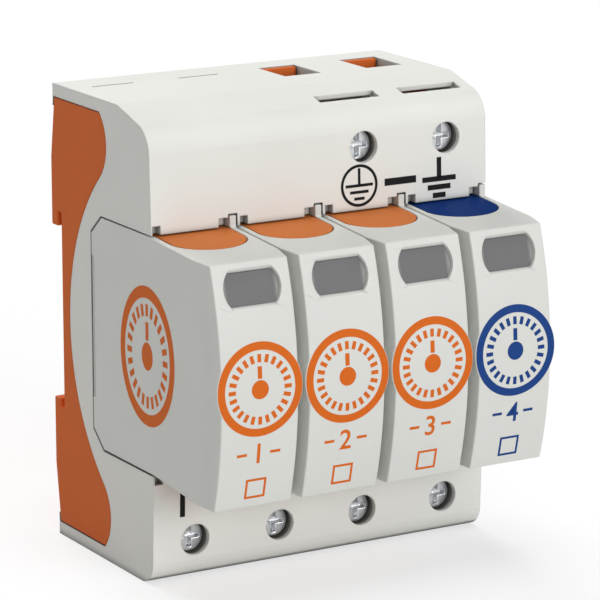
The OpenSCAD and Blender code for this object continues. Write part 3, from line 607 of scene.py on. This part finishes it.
class Stencil:
    """Flat shapes in millimetres that become one printed film on a surface."""

    def __init__(self, ticks: bpy.types.NodeTree) -> None:
        """Starts an empty stencil.

        Args:
            ticks: Geometry tree that makes rings of ticks.
        """
        self.flat = bmesh.new()
        self.ticks = ticks

    def bar(self, u: float, v: float, w: float, h: float) -> None:
        """Adds an upright rectangle.

        Args:
            u: Middle across.
            v: Middle upwards.
            w: Width.
            h: Height.
        """
        corners = [(-w, -h), (w, -h), (w, h), (-w, h)]
        self.flat.faces.new([self.flat.verts.new((u + a / 2, v + b / 2, 0)) for a, b in corners])

    def ring(self, u: float, v: float, outer: float, inner: float, squeeze: float = 1.0) -> None:
        """Adds a closed ring.

        Args:
            u: Centre across.
            v: Centre upwards.
            outer: Outer radius.
            inner: Inner radius, 0 for a disc.
            squeeze: Width over height.
        """
        count = 96
        turns = [math.tau * k / count for k in range(count)]

        def loop(r: float) -> list[bmesh.types.BMVert]:
            """Points of one circle of radius r."""
            spots = [(u + r * squeeze * math.cos(t), v + r * math.sin(t), 0) for t in turns]
            return [self.flat.verts.new(spot) for spot in spots]

        rim = loop(outer)
        if inner == 0:
            self.flat.faces.new(rim)
            return
        hole = loop(inner)
        for k in range(count):
            m = (k + 1) % count
            self.flat.faces.new((rim[k], rim[m], hole[m], hole[k]))

    def dial(
        self, count: int, radius: float, length: float, width: float, squeeze: float = 1.0
    ) -> None:
        """Adds a ring of ticks about the stencil's middle.

        Args:
            count: Number of ticks.
            radius: Radius of the ticks' middles.
            length: Length of a tick.
            width: Width of a tick.
            squeeze: Width over height of the ring.
        """
        mesh = grow(self.ticks, "ticks", {
            "Count": count, "Radius": radius, "Length": length, "Width": width,
        })
        for vert in mesh.vertices:
            vert.co.x *= squeeze
        self.flat.from_mesh(mesh)
        bpy.data.meshes.remove(mesh)

    def digits(self, words: str, u: float, v: float, height: float, weight: float = 0.0) -> None:
        """Adds plain figures about (u, v).

        Args:
            words: The figures.
            u: Middle across.
            v: Middle upwards.
            height: Height of a figure.
            weight: Extra stroke width.
        """
        figure_share = 0.7
        curve = bpy.data.curves.new("figures", "FONT")
        curve.body = words
        curve.size = height / figure_share
        curve.offset = weight
        curve.resolution_u = 6
        carrier = bpy.data.objects.new("figures", curve)
        bpy.context.scene.collection.objects.link(carrier)
        graph = bpy.context.evaluated_depsgraph_get()
        mesh = bpy.data.meshes.new_from_object(carrier.evaluated_get(graph))
        bpy.data.objects.remove(carrier)
        spots = [vert.co for vert in mesh.vertices]
        middle = [(min(c[k] for c in spots) + max(c[k] for c in spots)) / 2 for k in (0, 1)]
        for vert in mesh.vertices:
            vert.co = (vert.co.x - middle[0] + u, vert.co.y - middle[1] + v, 0)
        self.flat.from_mesh(mesh)
        bpy.data.meshes.remove(mesh)

    def press(
        self, name: str, place: Place, finish: bpy.types.Material, body: str, pitch: float = 1.0
    ) -> bpy.types.Object:
        """Prints the shapes on a surface as a thin closed film.

        Args:
            name: Name of the piece.
            place: Gives the point of the surface for (u, v) and a height above it, all in mm.
            finish: The ink.
            body: CAD body that carries the print.
            pitch: Longest step of the film over a bowed surface.

        Returns:
            The finished piece.
        """
        film, sunk, weld = 0.03, -0.03, 1e-4
        low = min(vert.co.y for vert in self.flat.verts)
        high = max(vert.co.y for vert in self.flat.verts)
        for k in range(1, int((high - low) / pitch) + 1):
            bmesh.ops.bisect_plane(
                self.flat, geom=self.flat.verts[:] + self.flat.edges[:] + self.flat.faces[:],
                plane_co=(0, low + k * pitch, 0), plane_no=(0, 1, 0),
            )
        bmesh.ops.remove_doubles(self.flat, verts=self.flat.verts, dist=weld)
        bmesh.ops.recalc_face_normals(self.flat, faces=self.flat.faces)
        solid = bmesh.new()
        top, foot = {}, {}
        for vert in self.flat.verts:
            u, v = vert.co.x, vert.co.y
            top[vert] = solid.verts.new(place(u, v, film) * MM)
            foot[vert] = solid.verts.new(place(u, v, sunk) * MM)
        for face in self.flat.faces:
            loop = list(face.verts) if face.normal.z > 0 else list(face.verts)[::-1]
            solid.faces.new([top[vert] for vert in loop])
            solid.faces.new([foot[vert] for vert in reversed(loop)])
        for edge in self.flat.edges:
            if edge.is_boundary:
                a, b = edge.verts
                solid.faces.new((top[a], top[b], foot[b], foot[a]))
        bmesh.ops.recalc_face_normals(solid, faces=solid.faces)
        mesh = bpy.data.meshes.new(name)
        solid.to_mesh(mesh)
        solid.free()
        self.flat.free()
        mesh.materials.append(finish)
        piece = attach(link(name, mesh), body)
        LOG.info("%s is printed on %s", name, body)
        return piece


@dataclass
class Base:
    """Grey housing with its printed terminal marks, on the orange rail carrier."""

    finishes: Finishes
    ticks: bpy.types.NodeTree
    pole_pitch: float = 17.5
    roof: float = 21.45
    floor: float = -22.25
    top: float = 42.7
    crown_z: float = 39.4
    shoulder: float = 34.9
    draft: float = 0.6
    carrier_edge: float = 0.3
    ring_r: tuple[float, float] = (3.85, 3.33)
    framed_at: tuple[float, float] = (7.7, 25.9)
    framed_size: tuple[float, float] = (2.85, 0.52)
    line_at: tuple[float, float] = (16.4, 25.9)
    line_size: tuple[float, float] = (6.7, 1.3)
    bold_at: tuple[float, float] = (24.7, 25.4)
    bold_size: tuple[float, float] = (3.6, 0.95)
    number_aside: float = -2.65
    number_z: float = -27.8
    number_h: float = 5.4
    number_weight: float = 0.12

    def pole_x(self, pole: int) -> float:
        """Middle of a module along the rail."""
        return (pole - 2.5) * self.pole_pitch

    def on_block(self, side: Side, x: float, z: float) -> Place:
        """Surface of a terminal block's front.

        Args:
            side: Upper or lower block.
            x: Middle of the print along the rail.
            z: Middle of the print in height.

        Returns:
            The place function of that front.
        """
        upper = side is Side.UPPER
        start, end = (self.roof, self.crown_z) if upper else (self.floor, -self.top)
        lean = self.draft / abs(end - start)

        def place(u: float, v: float, h: float) -> Vector:
            """Point over the leaning front."""
            return Vector((x + u, -self.shoulder + lean * abs(z + v - start) - h, z + v))

        return place

    def earth_sign(self, stencil: Stencil, scale: float, stroke: float) -> None:
        """Adds the three-bar earth sign to a stencil's middle.

        Args:
            stencil: Stencil that takes the sign.
            scale: Half width of the longest bar.
            stroke: Width of the bars.
        """
        stem, step, shares = 1.1 * scale, 0.42 * scale, (1.0, 0.68, 0.38)
        stencil.bar(0, stem / 2, stroke, stem)
        for k, share in enumerate(shares):
            stencil.bar(0, -step * k, 2 * scale * share, stroke)

    def build(self) -> None:
        """Dresses housing and carrier and prints the marks."""
        ink = self.finishes.black_ink
        dress("base_housing", self.finishes.base_grey)
        soften("rail_carrier", "base", self.finishes.orange, self.carrier_edge)
        framed = Stencil(self.ticks)
        framed.ring(0, 0, *self.ring_r)
        self.earth_sign(framed, *self.framed_size)
        framed.press("earth_sign_framed", self.on_block(Side.UPPER, *self.framed_at), ink, "base")
        line = Stencil(self.ticks)
        line.bar(0, 0, *self.line_size)
        line.press("earth_line", self.on_block(Side.UPPER, *self.line_at), ink, "base")
        bold = Stencil(self.ticks)
        self.earth_sign(bold, *self.bold_size)
        bold.press("earth_sign_bold", self.on_block(Side.UPPER, *self.bold_at), ink, "base")
        for pole in range(1, 5):
            figure = Stencil(self.ticks)
            figure.digits(str(pole), 0, 0, self.number_h, self.number_weight)
            front = self.on_block(Side.LOWER, self.pole_x(pole) + self.number_aside, self.number_z)
            figure.press(f"terminal_number_{pole}", front, ink, "base")


@dataclass
class Latches:
    """The two rail latches and their springs."""

    finishes: Finishes
    coils: bpy.types.NodeTree
    latch_x: float = 17.5
    spring_y: float = 1.35
    spring_low: float = -33.3
    spring_high: float = -24.3
    wire: float = 0.5
    radius: float = 1.4
    turns: float = 6.0
    travel: float = 3.2
    end_gap: float = 0.1
    latch_edge: float = 0.2
    names: tuple[str, str] = ("left", "right")

    def build(self) -> None:
        """Dresses the latches and winds their springs."""
        length = self.spring_high - self.spring_low
        inset = self.wire / 2 + self.end_gap
        for name, sign in zip(self.names, (-1, 1)):
            body = f"latch_{name}"
            soften(
                f"rail_latch_{name}", body, self.finishes.orange,
                self.latch_edge, pierced=True,
            )
            mesh = grow(self.coils, f"latch_spring_{name}", {
                "Turns": self.turns, "Radius": self.radius * MM, "Wire radius": self.wire / 2 * MM,
                "Height": (length - 2 * inset) * MM, "Wire": self.finishes.spring,
            })
            seat = Vector((sign * self.latch_x, self.spring_y, self.spring_low + inset)) * MM
            for vert in mesh.vertices:
                vert.co += seat
            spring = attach(link(f"latch_spring_{name}_wound", mesh), "base")
            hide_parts(f"latch_spring_{name}")
            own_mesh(spring)
            LOG.info("%s is wound", spring.name)


@dataclass
class Terminals:
    """Screws and clamp cages."""

    finishes: Finishes
    count: int = 6
    screw_edge: float = 0.14
    cage_edge: float = 0.15

    def build(self) -> None:
        """Dresses the six terminals."""
        for i in range(1, self.count + 1):
            soften(
                f"terminal_screw_{i}", f"screw_{i}", self.finishes.screw, self.screw_edge,
            )
            soften(
                f"clamp_cage_{i}", f"cage_{i}", self.finishes.cage, self.cage_edge,
                pierced=True,
            )


@dataclass
class Contacts:
    """Copper bars behind the bay."""

    finishes: Finishes
    nodes: tuple[str, ...] = (
        "neutral_bar", "earth_bar", "line_contact_1", "line_contact_2", "line_contact_3",
    )

    def build(self) -> None:
        """Dresses the bars."""
        for node in self.nodes:
            dress(node, self.finishes.copper)


@dataclass
class Plug:
    """One pull-out plug with its window, flag, blades and printed front."""

    finishes: Finishes
    ticks: bpy.types.NodeTree
    pole: int
    kind: PlugKind
    pole_pitch: float = 17.5
    width: float = 17.05
    bow_r: float = 72.0
    bow_y: float = 13.9
    bow_z: float = -3.6
    shell_edge: float = 0.22
    tray_edge: float = 0.12
    window_z: float = 15.5
    window_r: float = 5.6
    window_h: float = 6.6
    window_share: float = 0.89
    window_rim: float = 1.2
    window_depth: float = 5.0
    pane_play: float = 0.07
    lid_back: float = -34.9
    lid_front: float = -53.97
    lid_under: float = 19.4
    lid_drop: float = 0.6
    pad_w: float = 15.2
    pad_front: float = -48.3
    pad_under: float = 19.0
    pad_share: float = 0.81
    dial_z: float = -1.95
    dial_r: float = 8.35
    side_dial_at: tuple[float, float] = (-33.0, -0.6)
    side_dial_r: float = 12.7
    side_dial_squeeze: float = 0.79
    number_z: float = -13.45
    number_h: float = 3.6
    number_weight: float = 0.05
    dash_u: float = 3.3
    dash_size: tuple[float, float] = (2.0, 0.5)
    square_z: float = -20.0
    square_size: tuple[float, float] = (4.06, 3.7)
    square_line: float = 0.42
    x: float = field(init=False)

    def __post_init__(self) -> None:
        """Works out the plug's middle along the rail."""
        self.x = (self.pole - 2.5) * self.pole_pitch

    def on_bow(self, reach: float, lift: float) -> tuple[float, float]:
        """Depth and height, in mm, of a point at a distance and an angle from the bow's axis."""
        return self.bow_y - reach * math.cos(lift), self.bow_z + reach * math.sin(lift)

    def from_bow(self, spot: Vector) -> tuple[float, float]:
        """Distance in mm and angle from the bow's axis, of a point in metres."""
        back, up = self.bow_y - spot.y / MM, spot.z / MM - self.bow_z
        return math.hypot(back, up), math.atan2(up, back)

    def turn(self, vert: bpy.types.MeshVertex, lift: float) -> None:
        """Moves a vertex about the bow's axis.

        Args:
            vert: The vertex.
            lift: Its new angle.
        """
        y, z = self.on_bow(self.from_bow(vert.co)[0], lift)
        vert.co.y, vert.co.z = y * MM, z * MM

    def on_front(self, z: float) -> Place:
        """Surface of the bowed front.

        Args:
            z: Middle of the print in height.

        Returns:
            The place function of that front.
        """

        def place(u: float, v: float, h: float) -> Vector:
            """Point over the bow."""
            lift = math.asin((z + v - self.bow_z) / self.bow_r)
            return Vector((self.x + u, *self.on_bow(self.bow_r + h, lift)))

        return place

    def on_left_side(self, y: float, z: float) -> Place:
        """Surface of the left side, seen from outside.

        Args:
            y: Middle of the print in depth.
            z: Middle of the print in height.

        Returns:
            The place function of that side.
        """
        return lambda u, v, h: Vector((self.x - self.width / 2 - h, y - u, z + v))

    def dial(self, radius: float, squeeze: float = 1.0) -> Stencil:
        """Draws a plain dial: rim, ticks, hub and hand.

        Args:
            radius: Outer radius of the rim.
            squeeze: Width over height.

        Returns:
            The stencil.
        """
        rim, hub, count = 0.83 * radius, 0.2 * radius, 24
        tick_r, tick_l, tick_w = 0.66 * radius, 0.17 * radius, 0.085 * radius
        hand_v, hand_w, hand_l = 0.36 * radius, 0.1 * radius * squeeze, 0.26 * radius
        stencil = Stencil(self.ticks)
        stencil.ring(0, 0, radius, rim, squeeze)
        stencil.dial(count, tick_r, tick_l, tick_w, squeeze)
        stencil.ring(0, 0, hub, 0, squeeze)
        stencil.bar(0, hand_v, hand_w, hand_l)
        return stencil

    def lower_window(self, mesh: bpy.types.Mesh) -> None:
        """Draws the window's opening less tall about its middle, along the bow.

        Args:
            mesh: Mesh of the shell or of the pane.
        """
        middle = math.asin((self.window_z - self.bow_z) / self.bow_r)
        for vert in mesh.vertices:
            reach, lift = self.from_bow(vert.co)
            beside = abs(vert.co.x / MM - self.x) < self.window_r + self.window_rim
            near = reach * abs(lift - middle) < self.window_h / 2 + self.window_rim
            if beside and near and reach > self.bow_r - self.window_depth:
                self.turn(vert, middle + (lift - middle) * self.window_share)

    def lower_lid(self, mesh: bpy.types.Mesh) -> None:
        """Draws the pad's round end further back and the top's front edge lower.

        Args:
            mesh: Mesh of the shell or of the tray.
        """
        steepest = self.lid_drop / (self.bow_y - self.lid_front)
        for vert in mesh.vertices:
            y, z = vert.co.y / MM, vert.co.z / MM
            beside = abs(vert.co.x / MM - self.x) < self.pad_w / 2
            if beside and z > self.pad_under and self.pad_front < y < self.lid_back:
                y = self.lid_back + (y - self.lid_back) * self.pad_share
                vert.co.y = y * MM
            if z > self.lid_under and y < self.lid_back:
                share = (self.lid_back - y) / (self.lid_back - self.lid_front)
                self.turn(vert, self.from_bow(vert.co)[1] - share * steepest)

    def pane(self, body: str) -> bpy.types.Object:
        """Makes a copy of the window's pane that fills its opening, so that no dark joint shows.

        Args:
            body: CAD body that it rides on.

        Returns:
            The finished piece.
        """
        node = f"window_lens_{self.pole}"
        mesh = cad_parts[node].data.copy()
        low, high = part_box(node)
        middle = (Vector(low) + Vector(high)) / 2
        half_w, half_h = self.window_r * MM, self.window_h / 2 * MM
        for vert in mesh.vertices:
            out = vert.co - middle
            if math.hypot(out.x, out.z) < half_w and abs(out.z) < half_h:
                vert.co.x += out.x / half_w * self.pane_play * MM
                vert.co.z += out.z / half_h * self.pane_play * MM
        self.lower_window(mesh)
        mesh.materials.clear()
        mesh.materials.append(self.finishes.window)
        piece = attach(link(f"{node}_fitted", mesh), body)
        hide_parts(node)
        LOG.info("%s stands for %s", piece.name, node)
        return piece

    def build(self) -> None:
        """Dresses the plug's pieces and prints its marks."""
        body = f"plug_{self.pole}"
        spark = self.kind is PlugKind.SPARK_GAP
        made = self.finishes
        shell = soften(
            f"plug_shell_{self.pole}", body, made.plug_grey, self.shell_edge,
        )
        self.lower_window(shell.data)
        self.lower_lid(shell.data)
        tray = soften(
            f"plug_tray_{self.pole}", body, made.blue if spark else made.pad_orange,
            self.tray_edge,
        )
        self.lower_lid(tray.data)
        self.pane(body)
        dress(f"status_flag_{self.pole}", made.flag)
        dress(f"plug_blades_{self.pole}", made.copper)
        if spark:
            dress("spark_gap", made.ceramic)
        else:
            dress(f"varistor_{self.pole}", made.coating)
        self.print_marks(body, made.blue_ink if spark else made.orange_ink)

    def print_marks(self, body: str, ink: bpy.types.Material) -> None:
        """Prints the dial, the number and the square on the front, and the first plug's side dial.

        Args:
            body: CAD body that carries the prints.
            ink: Their ink.
        """
        self.dial(self.dial_r).press(f"dial_{self.pole}", self.on_front(self.dial_z), ink, body)
        figure = Stencil(self.ticks)
        figure.digits(str(self.pole), 0, 0, self.number_h, self.number_weight)
        for s in (-1, 1):
            figure.bar(s * self.dash_u, 0, *self.dash_size)
        figure.press(f"plug_number_{self.pole}", self.on_front(self.number_z), ink, body)
        square = Stencil(self.ticks)
        wide, tall = self.square_size
        line = self.square_line
        for s in (-1, 1):
            square.bar(s * (wide - line) / 2, 0, line, tall)
            square.bar(0, s * (tall - line) / 2, wide - 2 * line, line)
        square.press(f"plug_square_{self.pole}", self.on_front(self.square_z), ink, body)
        if self.pole == 1:
            side = self.dial(self.side_dial_r, self.side_dial_squeeze)
            side.press("dial_side", self.on_left_side(*self.side_dial_at), ink, body)


@dataclass(frozen=True)
class Lamp:
    """One softbox."""

    name: str
    place: tuple[float, float, float]
    size: float
    level: float

    def build(self, target: Vector) -> None:
        """Sets up the softbox.

        Its level is the brightness that it alone gives a white card facing it.

        Args:
            target: Point that it looks at.
        """
        spot = Vector(self.place)
        away = target - spot
        light = bpy.data.lights.new(self.name, "AREA")
        light.shape = "DISK"
        light.size = self.size
        light.energy = self.level * math.pi ** 2 * away.length_squared
        lamp = bpy.data.objects.new(self.name, light)
        lamp.location = spot
        lamp.rotation_euler = away.to_track_quat("-Z", "Y").to_euler()
        bpy.context.scene.collection.objects.link(lamp)


@dataclass
class Studio:
    """Pale floor, soft light and the camera."""

    ground: float = -42.7
    camera_mm: tuple[float, float, float] = (-314.87, -561.83, 155.59)
    yaw: float = 30.48
    pitch: float = 13.72
    focal_px: float = 3514.4
    frame_px: float = 600.0
    sky: float = 0.22
    shine: float = 0.65
    lamps: tuple[Lamp, ...] = (
        Lamp("right_softbox", (0.9, -4.2, 1.3), 2.0, 0.383),
        Lamp("left_softbox", (-0.9, -4.2, 0.6), 2.0, 0.248),
        Lamp("top_softbox", (0.0, 0.0, 4.3), 3.2, 0.526),
        Lamp("rear_softbox", (0.0, 3.9, 2.0), 3.2, 0.694),
    )

    def floor(self) -> None:
        """Lays a large pale floor."""
        reach, gap_mm, fibre_mm = 8.0, 0.02, 40
        level = (self.ground - gap_mm) * MM
        signs = ((-1, -1), (1, -1), (1, 1), (-1, 1))
        mesh = bpy.data.meshes.new("studio_floor")
        mesh.from_pydata([(a * reach, b * reach, level) for a, b in signs], [], [(0, 1, 2, 3)])
        material, tree = blank_material("matt_white_board")
        spot = add_node(tree, "ShaderNodeTexCoord").outputs["Object"]
        fibre = add_node(tree, "ShaderNodeTexNoise", {
            "Vector": spot, "Scale": per_metre(fibre_mm), "Detail": 2.0,
        })
        tint = add_node(tree, "ShaderNodeMix", {
            "Factor": fibre.outputs["Fac"], 6: linear("#f5f5f5"), 7: linear("#f7f7f7"),
        }, data_type="RGBA")
        # The eye sees a white board, the object a greyer one, so that its underside stays calm
        path = add_node(tree, "ShaderNodeLightPath")
        seen = add_node(tree, "ShaderNodeMix", {
            "Factor": path.outputs["Is Camera Ray"], 6: linear("#d8d8d8"), 7: tint.outputs[2],
        }, data_type="RGBA")
        board = add_node(tree, "ShaderNodeBsdfDiffuse", {"Color": seen.outputs[2]})
        # To the eye the board also shines a little, which keeps the object's shadow pale
        shine = add_node(tree, "ShaderNodeMath", {
            0: path.outputs["Is Camera Ray"], 1: self.shine,
        }, operation="MULTIPLY")
        white = add_node(tree, "ShaderNodeEmission", {"Color": (1.0, 1.0, 1.0, 1.0)})
        shader = add_node(tree, "ShaderNodeMixShader", {
            "Fac": shine.outputs["Value"], 1: board.outputs["BSDF"], 2: white.outputs["Emission"],
        })
        add_node(tree, "ShaderNodeOutputMaterial", {"Surface": shader.outputs["Shader"]})
        mesh.materials.append(material)
        link("studio_floor", mesh)

    def sky_light(self) -> None:
        """Lights the scene evenly; the background itself shows white."""
        world = bpy.data.worlds.new("studio")
        bpy.context.scene.world = world
        world.use_nodes = True
        tree = world.node_tree
        tree.nodes.clear()
        path = add_node(tree, "ShaderNodeLightPath")
        seen = add_node(tree, "ShaderNodeMath", {
            0: path.outputs["Is Camera Ray"], 1: path.outputs["Is Transmission Ray"],
        }, operation="MAXIMUM")
        strength = add_node(tree, "ShaderNodeMapRange", {
            "Value": seen.outputs["Value"], "To Min": self.sky, "To Max": 1.0,
        })
        back = add_node(tree, "ShaderNodeBackground", {
            "Color": (1.0, 1.0, 1.0, 1.0), "Strength": strength.outputs["Result"],
        })
        add_node(tree, "ShaderNodeOutputWorld", {"Surface": back.outputs["Background"]})

    def camera(self) -> None:
        """Sets the camera at the picture's angle."""
        data = bpy.data.cameras.new("camera")
        data.sensor_width = 36.0
        data.lens = data.sensor_width * self.focal_px / self.frame_px
        data.clip_start, data.clip_end = 0.01, 50.0
        eye = bpy.data.objects.new("camera", data)
        eye.location = Vector(self.camera_mm) * MM
        eye.rotation_euler = (math.radians(90 - self.pitch), 0, -math.radians(self.yaw))
        bpy.context.scene.collection.objects.link(eye)
        bpy.context.scene.camera = eye

    def build(self) -> None:
        """Builds floor, lights and camera."""
        target = Vector((0, -25, 0)) * MM
        self.floor()
        self.sky_light()
        for lamp in self.lamps:
            lamp.build(target)
        self.camera()
        bpy.context.scene.view_settings.view_transform = "Standard"


def corners(pair: Iterable[Vector]) -> list[list[float]]:
    """Two corners as plain lists of numbers."""
    return [list(point) for point in pair]


def main() -> None:
    """Builds the looks piece by piece."""
    logging.basicConfig(level=logging.INFO, format="%(name)s: %(message)s")
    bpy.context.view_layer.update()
    finishes = Finishes()
    ticks, coils = tick_tree(), coil_tree()
    Base(finishes, ticks).build()
    Latches(finishes, coils).build()
    Terminals(finishes).build()
    Contacts(finishes).build()
    kinds = [PlugKind.VARISTOR] * 3 + [PlugKind.SPARK_GAP]
    for pole, kind in enumerate(kinds, start=1):
        Plug(finishes, ticks, pole, kind).build()
    Studio().build()


if __name__ == "__main__":
    main()
